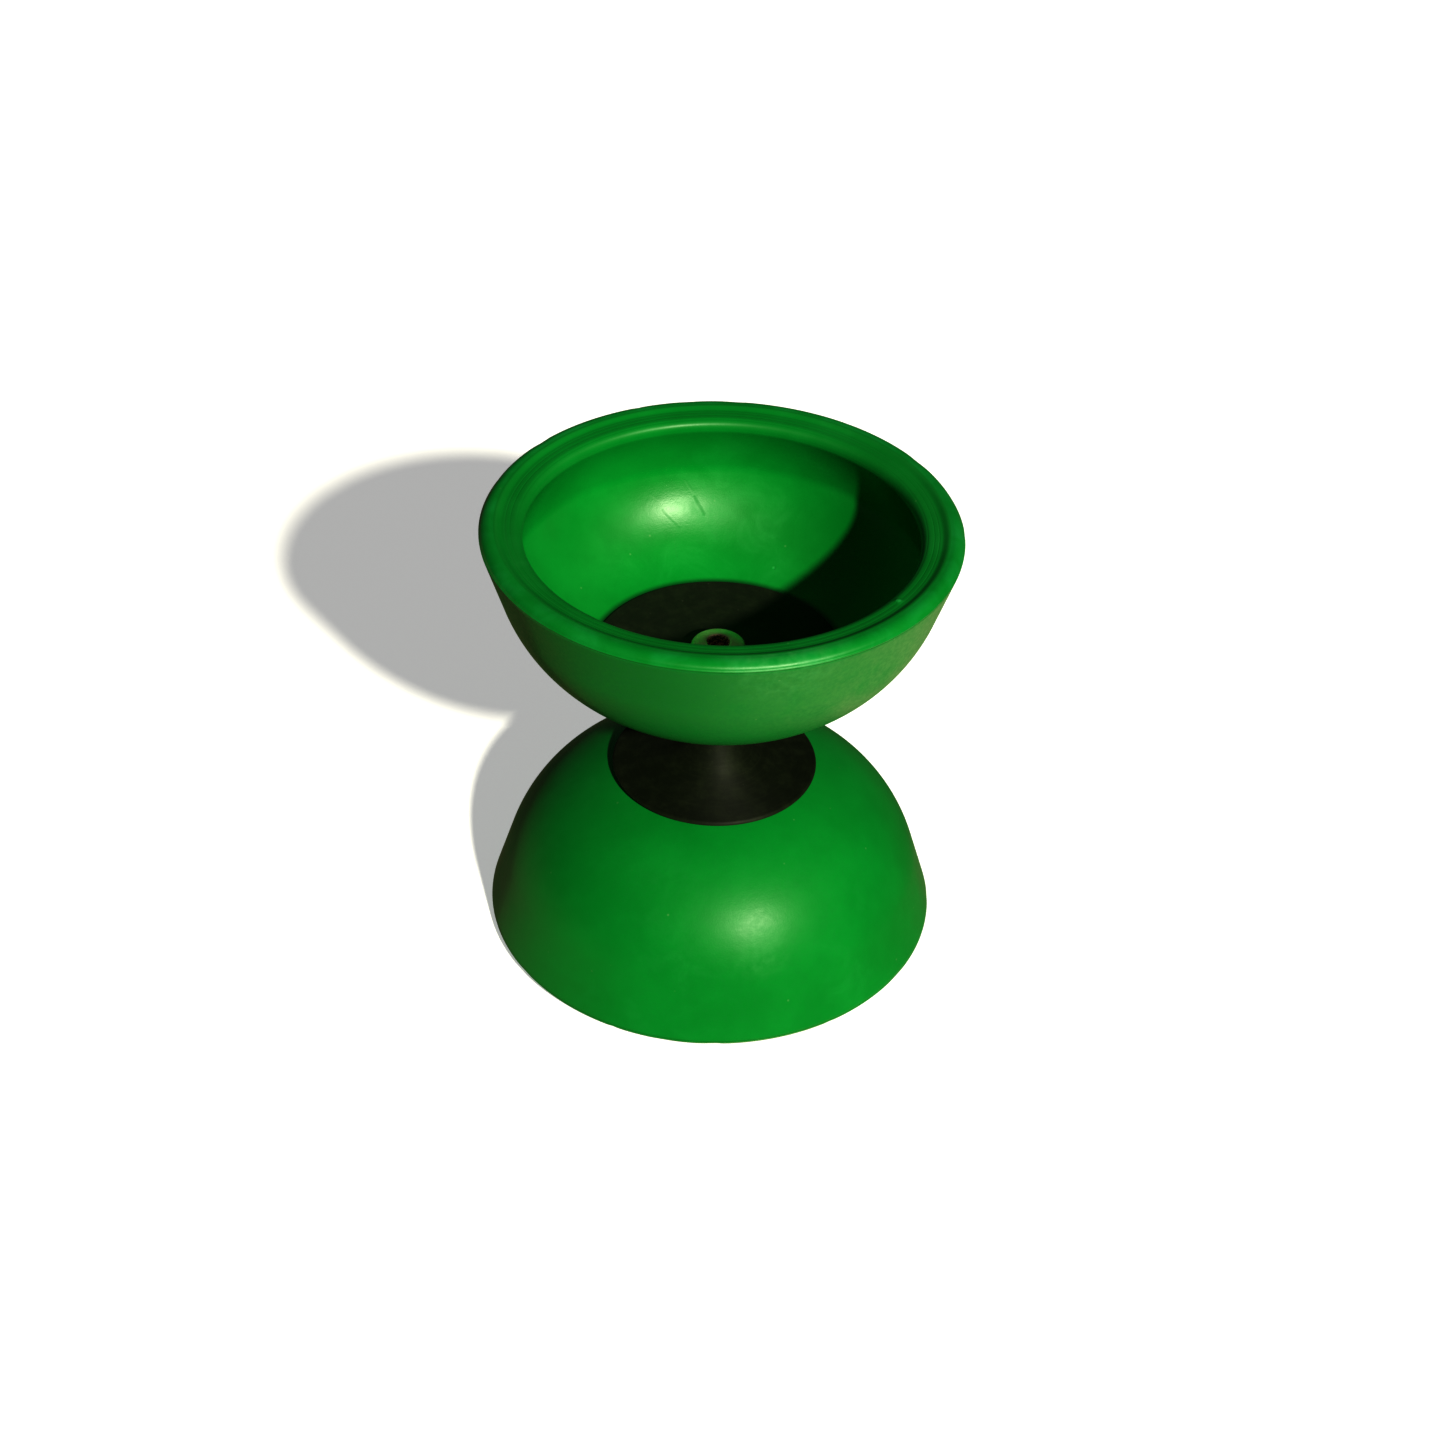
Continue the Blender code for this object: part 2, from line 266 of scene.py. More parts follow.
def hub_outline():
    """The section of one hub, solid to the axis before its bore is cut."""
    collar_radius = FLOOR_HOLE_RADIUS - GAP
    socket_floor = BOSS_Z - GAP
    collar = rounded([
        (0.0, socket_floor),
        (collar_radius - COLLAR_WALL, socket_floor),
        (collar_radius - COLLAR_WALL, COLLAR_Z),
        (collar_radius, COLLAR_Z),
        (collar_radius, BACK_Z),
        (FLANGE_RADIUS - FLANGE_THICKNESS, BACK_Z),
    ], COLLAR_ROUND)
    edge = FLANGE_THICKNESS / 2
    rim = ellipse((FLANGE_RADIUS - edge, BACK_Z - edge), (edge, edge), 90, -90, 24)
    face_z = BACK_Z - FLANGE_THICKNESS
    trumpet = ellipse((FLANGE_RADIUS - edge, THROAT_Z),
                      (FLANGE_RADIUS - edge - THROAT_RADIUS, face_z - THROAT_Z), 90, 178, 88)
    throat = rounded([trumpet[-1], (THROAT_RADIUS, THROAT_Z), (0.0, THROAT_Z)], THROAT_ROUND)
    return collar + rim + trumpet[1:-1] + throat


def disc_outline():
    """The closed section of one clamping disc."""
    hole = THREAD_RADIUS + GAP
    seat = WASHER_RADIUS + GAP
    boss = FLOOR_HOLE_RADIUS - GAP - COLLAR_WALL - GAP
    bell = BELL_RADIUS - WALL - GAP
    floor = FLOOR_Z + WALL + GAP
    seat_z = WASHER_LOW_Z - GAP
    edge_angle = -math.degrees(math.acos((DISC_RADIUS - BELL_CENTRE[0]) / bell))
    middle = rounded([
        (hole, BOSS_Z),
        (hole, seat_z),
        (seat, seat_z),
        (seat, DISC_MIDDLE_Z),
        (seat + WALL, DISC_MIDDLE_Z + 0.01 * MM),
    ], DISC_ROUND)
    dish = []
    dish_start = seat + WALL
    dish_end = DISC_RADIUS - DISC_EDGE_ROUND
    for part in fractions(40)[1:-1]:
        radius = dish_start + (dish_end - dish_start) * part
        rise = (DISC_EDGE_Z - DISC_MIDDLE_Z) * part ** 2
        dish.append((radius, DISC_MIDDLE_Z + rise))
    edge = ellipse((DISC_RADIUS - DISC_EDGE_ROUND, DISC_EDGE_Z - DISC_EDGE_ROUND),
                   (DISC_EDGE_ROUND, DISC_EDGE_ROUND), 90, 0, 16)
    under = ellipse(BELL_CENTRE, (bell, bell), edge_angle, bell_angle(bell, floor), 16)
    socket = rounded([under[-1], (boss, floor), (boss, BOSS_Z), (hole, BOSS_Z)], DISC_ROUND)
    return middle + dish + edge + under[:-1] + socket[:-1]


def washer_outline():
    """The closed section of one washer."""
    hole = THREAD_RADIUS + GAP
    middle_z = (WASHER_LOW_Z + WASHER_HIGH_Z) / 2
    corners = [
        (hole, middle_z),
        (hole, WASHER_HIGH_Z),
        (WASHER_RADIUS, WASHER_HIGH_Z),
        (WASHER_RADIUS, WASHER_LOW_Z),
        (hole, WASHER_LOW_Z),
        (hole, middle_z),
    ]
    return rounded(corners, WASHER_ROUND)[:-1]


def screw_outline():
    """The section of one screw, before its socket is cut."""
    chamfer_z = HEAD_TOP_Z - SOCKET_CHAMFER
    mouth = [
        (0.0, chamfer_z),
        (SOCKET_MOUTH_RADIUS - SOCKET_CHAMFER, chamfer_z),
        (SOCKET_MOUTH_RADIUS, HEAD_TOP_Z - SOCKET_EDGE_DROP),
    ]
    crown_edge = HEAD_RADIUS - HEAD_ROUND
    crown_start = SOCKET_MOUTH_RADIUS + SOCKET_EDGE_WIDTH
    crown = []
    for part in fractions(16):
        radius = crown_start + (crown_edge - SOCKET_MOUTH_RADIUS) * part
        crown.append((radius, HEAD_TOP_Z - HEAD_CROWN * part ** 2))
    shoulder = ellipse((crown_edge, crown[-1][1] - HEAD_ROUND),
                       (HEAD_ROUND, HEAD_ROUND), 70, 0, 16)
    shank = rounded([
        shoulder[-1],
        (HEAD_RADIUS, WASHER_HIGH_Z + GAP),
        (THREAD_RADIUS, WASHER_HIGH_Z + GAP),
        (THREAD_RADIUS, SCREW_TIP_Z + SCREW_TIP_CHAMFER),
        (THREAD_RADIUS - SCREW_TIP_CHAMFER, SCREW_TIP_Z),
        (0.0, SCREW_TIP_Z),
    ], SHANK_ROUND)
    return mouth + crown[:-1] + shoulder[:-1] + shank


def axle_outline():
    """The section of the axle's shoulders and its string groove."""
    edge = THROAT_Z - GAP
    start = edge - AXLE_LAND
    groove = []
    for fraction in fractions(48):
        part = 1 - 2 * fraction
        depth = (SHOULDER_RADIUS - WAIST_RADIUS) * (1 - part ** 2)
        groove.append((SHOULDER_RADIUS - depth, start * part))
    upper = rounded([(0.0, edge), (SHOULDER_RADIUS, edge), groove[0]], SHOULDER_ROUND)
    lower = [(radius, -z) for radius, z in reversed(upper)]
    return upper[:-1] + groove + lower[1:]


# --- meshes -----------------------------------------------------------------

def even_angles(steps):
    """Angles all the way round, in degrees."""
    return [360.0 * step / steps for step in range(steps)]


def turn_mesh(name, outline, angles, closed):
    """A mesh turned about Z: one ring of points at each outline point."""
    points = []
    for degrees in angles:
        angle = math.radians(degrees)
        points += [(r * math.cos(angle), r * math.sin(angle), z) for r, z in outline]
    count = len(outline)
    last = count if closed else count - 1
    faces = []
    for turn in range(len(angles)):
        here = turn * count
        there = (turn + 1) % len(angles) * count
        for i in range(last):
            j = (i + 1) % count
            faces.append((here + i, here + j, there + j, there + i))
    mesh = bpy.data.meshes.new(name)
    mesh.from_pydata(points, [], faces)
    return clean(mesh)


def clean(mesh):
    """Weld the points on the axis and face the mesh outwards."""
    shape = bmesh.new()
    shape.from_mesh(mesh)
    bmesh.ops.remove_doubles(shape, verts=shape.verts, dist=0.002 * MM)
    bmesh.ops.dissolve_degenerate(shape, edges=shape.edges, dist=0.001 * MM)
    bmesh.ops.recalc_face_normals(shape, faces=shape.faces)
    shape.to_mesh(mesh)
    shape.free()
    return mesh


def prism_mesh(name, radius, low, high, sides, half_flats=None):
    """An upright prism; half_flats presses it to two flats across Y."""
    shape = bmesh.new()
    bmesh.ops.create_cone(
        shape, cap_ends=True, segments=sides, radius1=radius, radius2=radius, depth=high - low)
    for vertex in shape.verts:
        vertex.co.z += (low + high) / 2
        if half_flats is not None:
            vertex.co.y = max(-half_flats, min(half_flats, vertex.co.y))
    mesh = bpy.data.meshes.new(name)
    shape.to_mesh(mesh)
    shape.free()
    return mesh


def combined(mesh, tool_mesh, operation):
    """The mesh with a tool shape added or cut by an exact Boolean."""
    scene = bpy.context.scene
    piece = bpy.data.objects.new("combining", mesh)
    tool = bpy.data.objects.new("tool", tool_mesh)
    scene.collection.objects.link(piece)
    scene.collection.objects.link(tool)
    boolean = piece.modifiers.new("Combine", "BOOLEAN")
    boolean.operation = operation
    boolean.solver = "EXACT"
    boolean.object = tool
    graph = bpy.context.evaluated_depsgraph_get()
    result = bpy.data.meshes.new_from_object(piece.evaluated_get(graph), depsgraph=graph)
    result.name = mesh.name
    bpy.data.objects.remove(piece, do_unlink=True)
    bpy.data.objects.remove(tool, do_unlink=True)
    return result


def shade(mesh):
    """Shade round faces smooth and keep real edges sharp."""
    mesh.shade_smooth()
    mesh.set_sharp_from_angle(angle=SHARP_ANGLE)
    return mesh


def cup_angles():
    """Even angles with closer ones round the moulding nub."""
    nub = NUB_AZIMUTH % 360.0
    steps = round(NUB_REACH / NUB_RING_STEP)
    angles = {angle for angle in even_angles(CUP_STEPS) if abs(angle - nub) > NUB_REACH}
    angles.update(nub + step * NUB_RING_STEP for step in range(-steps, steps + 1))
    return sorted(angles)


def cup_mesh():
    """One cup, with the moulding nub on its lip and shallow knocks on its rim."""
    mesh = turn_mesh("cup", cup_outline(), cup_angles(), True)
    nub = around_point(NUB_RADIUS, NUB_AZIMUTH, SHELF_INNER[1])
    knocks = rim_knocks()
    for vertex in mesh.vertices:
        if vertex.co.z < RIM_Z - RIM_DEPTH:
            continue
        lift = NUB_HEIGHT * hump((vertex.co - nub).length, NUB_SIZE)
        outward = Vector((vertex.co.x, vertex.co.y, 0.0)).normalized()
        vertex.co += Vector((0.0, 0.0, 1.0)) * lift * 0.5 - outward * lift * 0.5
        for spot, size, depth in knocks:
            distance = (vertex.co - spot).length
            if distance < 3 * size:
                inward = Vector((-outward.x, -outward.y, -1.0)).normalized()
                vertex.co += inward * depth * hump(distance, size)
    return shade(mesh)


def rim_knocks():
    """Places, sizes and depths of the rim's shallow dents."""
    draw = random.Random(KNOCK_SEED)
    knocks = []
    for _ in range(KNOCK_COUNT):
        angle = draw.uniform(0.0, math.tau)
        radius = CUP_RADIUS - draw.uniform(0.4, 2.6) * MM
        spot = Vector((radius * math.cos(angle), radius * math.sin(angle),
                       RIM_Z - draw.uniform(0.3, 1.6) * MM))
        knocks.append((spot, draw.uniform(0.9, 2.2) * MM, draw.uniform(0.05, 0.16) * MM))
    return knocks


def hub_mesh():
    """One trumpet hub with a flatted bore for the axle's end."""
    mesh = turn_mesh("hub", hub_outline(), even_angles(HUB_STEPS), False)
    bore = prism_mesh("bore", END_RADIUS + GAP, THROAT_Z - MM, COLLAR_Z + MM, SMALL_STEPS,
                      END_HALF_FLATS + GAP)
    return shade(combined(mesh, bore, "DIFFERENCE"))


def disc_mesh():
    """One clamping disc."""
    return shade(turn_mesh("disc", disc_outline(), even_angles(HUB_STEPS), True))


def washer_mesh():
    """One washer."""
    return shade(turn_mesh("washer", washer_outline(), even_angles(SMALL_STEPS), True))


def screw_mesh():
    """One socket screw."""
    mesh = turn_mesh("screw", screw_outline(), even_angles(SMALL_STEPS), False)
    corner_radius = SOCKET_FLATS / math.sqrt(3)
    socket = prism_mesh("socket", corner_radius, HEAD_TOP_Z - SOCKET_DEPTH, HEAD_TOP_Z + MM, 6)
    return shade(combined(mesh, socket, "DIFFERENCE"))


def axle_mesh():
    """The axle: a grooved spool on a flatted bar, tapped at both ends."""
    mesh = turn_mesh("axle", axle_outline(), even_angles(SMALL_STEPS), False)
    bar = prism_mesh("bar", END_RADIUS, -AXLE_END_Z, AXLE_END_Z, SMALL_STEPS, END_HALF_FLATS)
    mesh = combined(mesh, bar, "UNION")
    bore_start = AXLE_END_Z - BORE_DEPTH
    bore_end = AXLE_END_Z + MM
    for low, high in ((bore_start, bore_end), (-bore_end, -bore_start)):
        bore = prism_mesh("bore", THREAD_RADIUS + GAP, low, high, SMALL_STEPS)
        mesh = combined(mesh, bore, "DIFFERENCE")
    return shade(mesh)


# --- materials --------------------------------------------------------------

class Nodes:
    """Adds nodes to a tree; an input is a number, a colour or a node's output."""

    def __init__(self, tree):
        self.tree = tree

    def node(self, kind, inputs=None, **settings):
        """Add a node with its settings and inputs."""
        made = self.tree.nodes.new(kind)
        for name, value in settings.items():
            setattr(made, name, value)
        for name, value in (inputs or {}).items():
            self.feed(made.inputs[name], value)
        return made

    def feed(self, socket, value):
        """Link an output to a socket, or set the socket's own value."""
        if isinstance(value, bpy.types.NodeSocket):
            self.tree.links.new(value, socket)
        else:
            socket.default_value = value

    def sum(self, *terms):
        """Add numbers or outputs."""
        total = terms[0]
        for term in terms[1:]:
            total = self.maths("ADD", total, term)
        return total

    def maths(self, operation, first, second=0.0):
        """One maths node."""
        return self.node("ShaderNodeMath", {0: first, 1: second}, operation=operation).outputs[0]

    def vector(self, operation, first, second=(0.0, 0.0, 0.0)):
        """One vector maths node, for a vector result."""
        inputs = {0: first, 1: second}
        return self.node("ShaderNodeVectorMath", inputs, operation=operation).outputs["Vector"]

    def length(self, vector):
        """The length of a vector."""
        made = self.node("ShaderNodeVectorMath", {0: vector}, operation="LENGTH")
        return made.outputs["Value"]

    def noise(self, place, scale, detail=3.0, roughness=0.55, distortion=0.0):
        """Noise from 0 to 1, with scale in features for each metre."""
        inputs = {"Vector": place, "Scale": scale, "Detail": detail, "Roughness": roughness,
                  "Distortion": distortion}
        return self.node("ShaderNodeTexNoise", inputs).outputs["Fac"]

    def fade(self, value, start, end, low=0.0, high=1.0):
        """Smoothly from low to high while the value goes from start to end."""
        inputs = {"Value": value, "From Min": start, "From Max": end, "To Min": low,
                  "To Max": high}
        made = self.node("ShaderNodeMapRange", inputs, interpolation_type="SMOOTHSTEP")
        return made.outputs["Result"]

    def mix(self, factor, first, second):
        """One colour over another."""
        made = self.node("ShaderNodeMix", {0: factor, 6: first, 7: second}, data_type="RGBA")
        return made.outputs[2]

    def weighted(self, mask, weight):
        """A mask at part of its strength."""
        return self.maths("MULTIPLY", mask, weight)

    def strongest(self, masks):
        """The greatest of several masks at each place."""
        most = 0.0
        for mask in masks:
            most = self.maths("MAXIMUM", most, mask)
        return most

    def layered(self, colour, layers):
        """Colours laid over one another: each layer is a mask, its weight and its colour."""
        for mask, weight, over in layers:
            colour = self.mix(self.weighted(mask, weight), colour, over + (1.0,))
        return colour


class Shading(Nodes):
    """The nodes of one material."""

    def __init__(self, name):
        self.material = bpy.data.materials.new(name)
        self.material.use_nodes = True
        super().__init__(self.material.node_tree)
        self.shader = self.tree.nodes["Principled BSDF"]
        self.place = self.node("ShaderNodeTexCoord").outputs["Object"]

    def shifted(self, offset):
        """The place on the piece, moved so that two pieces aren't marked alike."""
        return self.vector("ADD", self.place, offset)

    def rings(self):
        """Coordinates alike all round the axis, and the radius and the height by themselves."""
        parts = self.node("ShaderNodeSeparateXYZ", {0: self.place})
        flat = self.node("ShaderNodeCombineXYZ",
                         {"X": parts.outputs["X"], "Y": parts.outputs["Y"]}).outputs[0]
        around = self.length(flat)
        made = self.node("ShaderNodeCombineXYZ", {"X": around, "Z": parts.outputs["Z"]})
        return made.outputs[0], around, parts.outputs["Z"]

    def bell_depth(self):
        """Distance from the ring that the bell's section is drawn round."""
        _, around, height = self.rings()
        across = self.maths("SUBTRACT", around, BELL_CENTRE[0])
        along = self.maths("SUBTRACT", height, BELL_CENTRE[1])
        made = self.node("ShaderNodeCombineXYZ", {"X": across, "Z": along})
        return self.length(made.outputs[0])

    def around_axis(self):
        """The direction round the axis, for highlights stretched by polishing."""
        return self.node("ShaderNodeTangent", direction_type="RADIAL", axis="Z").outputs[0]

    def specks(self, place, scale, size, share):
        """Scattered round specks: size is in cells, share is the part of cells with one."""
        made = self.node("ShaderNodeTexVoronoi", {"Vector": place, "Scale": scale})
        dot = self.fade(made.outputs["Distance"], size, size * 0.5)
        chosen = self.node("ShaderNodeSeparateXYZ", {0: made.outputs["Color"]}).outputs["X"]
        return self.weighted(dot, self.fade(chosen, 1.0 - share, 1.0 - share + 0.02))

    def spot(self, centre, radius):
        """A soft round spot about a point."""
        distance = self.length(self.vector("SUBTRACT", self.place, tuple(centre)))
        return self.fade(distance, radius, radius / 3)

    def stroke(self, start, end, half_width):
        """A straight scratch between two points."""
        along = Vector(end) - Vector(start)
        from_start = self.vector("SUBTRACT", self.place, tuple(start))
        way = tuple(along.normalized())
        projected = self.node("ShaderNodeVectorMath", {0: from_start, 1: way},
                              operation="DOT_PRODUCT").outputs["Value"]
        inside = self.node("ShaderNodeClamp",
                           {"Value": projected, "Min": 0.0, "Max": along.length}).outputs[0]
        nearest = self.node("ShaderNodeVectorMath", {0: way, "Scale": inside},
                            operation="SCALE").outputs["Vector"]
        distance = self.length(self.vector("SUBTRACT", from_start, nearest))
        return self.fade(distance, half_width, 0.0)

    def bumps(self, *layers):
        """Bumps laid on one another: a height from 0 to 1 and the real depth of each."""
        inputs = {"Strength": 1.0}
        for height, depth in layers:
            inputs.update({"Height": height, "Distance": depth})
            inputs["Normal"] = self.node("ShaderNodeBump", inputs).outputs["Normal"]
        return inputs["Normal"]

    def finish(self, **inputs):
        """Set the shader's inputs and return the material."""
        for name, value in inputs.items():
            self.feed(self.shader.inputs[name.replace("_", " ")], value)
        return self.material


def around_point(radius, azimuth, z):
    """A point at a radius, an azimuth in degrees and a height."""
    angle = math.radians(azimuth)
    return Vector((radius * math.cos(angle), radius * math.sin(angle), z))


def bowl_point(azimuth, z):
    """A point on the bowl's inner face, at an azimuth in degrees and a height."""
    inner = BELL_RADIUS - WALL
    radius = BELL_CENTRE[0] + inner * math.cos(math.radians(bell_angle(inner, z)))
    return around_point(radius, azimuth, z)


# Both cups carry every mark below; places are in the half frame.
# Scratches in the bowl: azimuth and height of each end, half the width and the strength
SCRATCHES = (
    ((99.2, 36.0 * MM), (96.4, 32.4 * MM), 0.7 * MM, 1.0),
    ((101.8, 40.2 * MM), (99.6, 37.4 * MM), 0.6 * MM, 0.45),
    ((95.0, 30.5 * MM), (91.8, 27.2 * MM), 0.9 * MM, 0.35),
    ((109.6, 33.8 * MM), (105.0, 30.2 * MM), 0.6 * MM, 0.8),
    ((107.4, 28.4 * MM), (107.8, 24.6 * MM), 0.55 * MM, 0.4),
    ((113.0, 37.8 * MM), (110.6, 36.4 * MM), 0.6 * MM, 0.35),
)
# Pale spots, one in the bowl and one on the moulding nub, the nub's one a painted highlight:
# centre and radius
PALE_SPOTS_AND_NUB_HIGHLIGHT = (
    (bowl_point(68.4, 23.4 * MM), 0.55 * MM),
    (around_point(NUB_RADIUS, NUB_AZIMUTH, SHELF_INNER[1] + NUB_HEIGHT / 2), 1.0 * MM),
)
# Scuffs on the rim and the outer side, centred where highlights fall, their pale flecks partly
# painted highlight: centre, radius and strength
SCUFFS_AND_HIGHLIGHTS = (
    (around_point(57.0 * MM, -74.0, 59.2 * MM), 19.0 * MM, 0.62),
    (around_point(50.9 * MM, 74.5, 36.0 * MM), 9.0 * MM, 0.34),
)


def green_rubber(name, offset, film, stretch, shine):
    """Satin green rubber: mottled, dusty, scratched and scuffed, with painted highlights and
    painted shade.

    The film is the dust on the skirt, the stretch that of highlights and the shine
    their strength, each from 0 to 1.
    """
    make = Shading(name)
    place = make.shifted(offset)
    rings, around, height = make.rings()
    mottle = make.noise(place, 45.0, 5.0, 0.6)
    cloud = make.noise(place, 95.0, 6.0, 0.65, 0.6)
    patch = make.noise(place, 22.0, 2.0)
    grain = make.noise(place, 2600.0, 2.0)
    pores = make.noise(place, 900.0, 3.0, 0.6)
    turned = make.noise(rings, 1400.0, 3.0)
    dents = make.noise(place, 260.0, 4.0, 0.6)
    dust = make.specks(place, 420.0, 0.16, 0.05)
    lint = make.specks(make.shifted(tuple(0.03 - x for x in offset)), 130.0, 0.05, 0.07)
    dark = make.specks(make.shifted((0.05, 0.02, 0.01)), 75.0, 0.045, 0.1)

    bloom = make.weighted(make.fade(cloud, 0.45, 0.7), make.fade(patch, 0.42, 0.6))
    streaks = make.noise(rings, 700.0, 4.0, 0.7)
    wear_zone = make.fade(height, RIM_Z - 5.0 * MM, RIM_Z - 1.5 * MM)
    mid_wall = BELL_RADIUS - WALL / 2
    in_bowl = make.fade(make.bell_depth(), mid_wall + 0.2 * MM, mid_wall)
    outside = make.maths("SUBTRACT", 1.0, in_bowl)
    skirt_top = RIM_Z - PARTING_BELOW_RIM
    skirt = make.weighted(outside, make.fade(height, skirt_top, skirt_top - 0.3 * MM))
    dusty = make.weighted(skirt, make.fade(pores, 0.3, 0.7, 0.6 * film, 1.4 * film))
    bead = make.weighted(wear_zone, make.maths("SUBTRACT", outside, skirt))
    lip = make.weighted(wear_zone, in_bowl)
    # Painted shade: a dark ring on the bowl round the disc's edge
    corner_shade = make.weighted(in_bowl, make.fade(around, DISC_RADIUS + CORNER_SHADE_WIDTH,
                                             DISC_RADIUS + 0.2 * MM))
    # Painted shade: a thin dark line just under the parting ridge
    ridge_shade_z = RIM_Z - PARTING_BELOW_RIM - RIDGE_SHADE_BELOW
    ridge_shade_offset = make.maths("ABSOLUTE", make.maths("SUBTRACT", height, ridge_shade_z))
    ridge_shade = make.weighted(outside, make.fade(ridge_shade_offset, RIDGE_SHADE_HALF_WIDTH, 0.03 * MM))
    wear = make.weighted(wear_zone, make.fade(streaks, 0.42, 0.72))
    flecks = make.fade(make.noise(place, 400.0, 4.0, 0.6), 0.25, 0.8)
    # Pale scuff flecks where the highlights fall: partly scuffs, partly painted highlight
    scuffs_and_highlight = make.strongest([make.weighted(make.spot(centre, radius), strength)
                             for centre, radius, strength in SCUFFS_AND_HIGHLIGHTS])
    scuffs_and_highlight = make.weighted(make.weighted(scuffs_and_highlight, flecks), outside)
    scratches = make.strongest([
        make.weighted(make.stroke(bowl_point(*start), bowl_point(*end), half_width), strength)
        for start, end, half_width, strength in SCRATCHES])
    scratches = make.weighted(scratches, make.fade(cloud, 0.3, 0.6, 0.4, 1.0))
    # The bowl's pale spot is a mark; the nub's is a painted highlight
    pale_and_highlight = make.strongest([make.spot(centre, radius) for centre, radius in PALE_SPOTS_AND_NUB_HIGHLIGHT])

    colour = make.mix(make.fade(mottle, 0.3, 0.7), (0.0006, 0.228, 0.032, 1.0),
                      (0.0012, 0.268, 0.041, 1.0))
    colour = make.layered(colour, (
        (bloom, 0.22, (0.012, 0.33, 0.075)),
        (skirt, 0.08, (0.0006, 0.205, 0.028)),
        (dusty, 1.0, (0.009, 0.220, 0.054)),
        (bead, make.fade(cloud, 0.35, 0.75, 0.0, 0.7), (0.012, 0.31, 0.080)),
        (lip, 0.3, (0.001, 0.165, 0.020)),
        (wear, 0.2, (0.018, 0.24, 0.055)),
        (scratches, 0.12, (0.001, 0.12, 0.014)),
        (scuffs_and_highlight, 0.75, (0.080, 0.36, 0.13)),
        (ridge_shade, 0.55, (0.0005, 0.10, 0.012)),
        (corner_shade, 0.85, (0.0005, 0.030, 0.006)),
        (pale_and_highlight, 0.7, (0.03, 0.36, 0.10)),
        (dust, 0.36, (0.16, 0.36, 0.15)),
        (lint, 0.2, (0.20, 0.42, 0.19)),
        (dark, 0.6, (0.001, 0.08, 0.012)),
    ))
    rougher = ((in_bowl, 0.01), (lip, 0.03), (bead, -0.03), (dusty, 0.25), (bloom, 0.10),
               (scuffs_and_highlight, 0.1), (scratches, 0.1), (wear, 0.08))
    roughness = make.sum(make.fade(mottle, 0.25, 0.75, 0.32, 0.39),
                         *(make.weighted(mask, weight) for mask, weight in rougher))
    normal = make.bumps(
        (grain, 0.012 * MM),
        (turned, 0.006 * MM),
        (mottle, 0.05 * MM),
        (dents, 0.03 * MM),
        (scuffs_and_highlight, 0.012 * MM),
        (pores, 0.006 * MM),
        (make.maths("SUBTRACT", 1.0, scratches), 0.022 * MM),
        (make.maths("SUBTRACT", 1.0, pale_and_highlight), 0.08 * MM))
    return make.finish(Base_Color=colour, Roughness=roughness, Normal=normal,
                       Specular_IOR_Level=shine, Anisotropic=stretch, Tangent=make.around_axis())


def black_plastic(name, offset, dustiness, stretch):
    """Black moulded plastic with fine turning lines, dust and rubbed patches.

    The turning lines stretch a highlight across them, by an amount from 0 to 1.
    """
    make = Shading(name)
    place = make.shifted(offset)
    rings, around, _ = make.rings()
    mottle = make.noise(place, 70.0, 5.0, 0.65)
    lines = make.noise(rings, 2600.0, 3.0, 0.65)
    broad = make.noise(rings, 420.0, 3.0)
    grain = make.noise(place, 3200.0, 2.0)
    haze = make.noise(place, 240.0, 6.0, 0.7)
    dust = make.specks(place, 620.0, 0.2, 0.08)
    rubbed = make.fade(around, 11.0 * MM, 7.0 * MM)

    colour = make.mix(make.fade(haze, 0.4, 0.75), (0.008, 0.0135, 0.0052, 1.0),
                      (0.017, 0.026, 0.0105, 1.0))
    colour = make.layered(colour, (
        (make.fade(lines, 0.5, 0.75), 0.4, (0.027, 0.033, 0.015)),
        (dust, dustiness, (0.07, 0.075, 0.055)),
    ))
    roughness = make.sum(
        make.fade(mottle, 0.25, 0.75, 0.56, 0.66),
        make.weighted(make.fade(lines, 0.35, 0.7), 0.08),
        make.weighted(rubbed, 0.1))
    normal = make.bumps((grain, 0.008 * MM), (lines, 0.012 * MM), (broad, 0.02 * MM))
    return make.finish(Base_Color=colour, Roughness=roughness, Normal=normal,
                       Specular_IOR_Level=0.35, Anisotropic=stretch, Anisotropic_Rotation=0.25,
                       Tangent=make.around_axis())


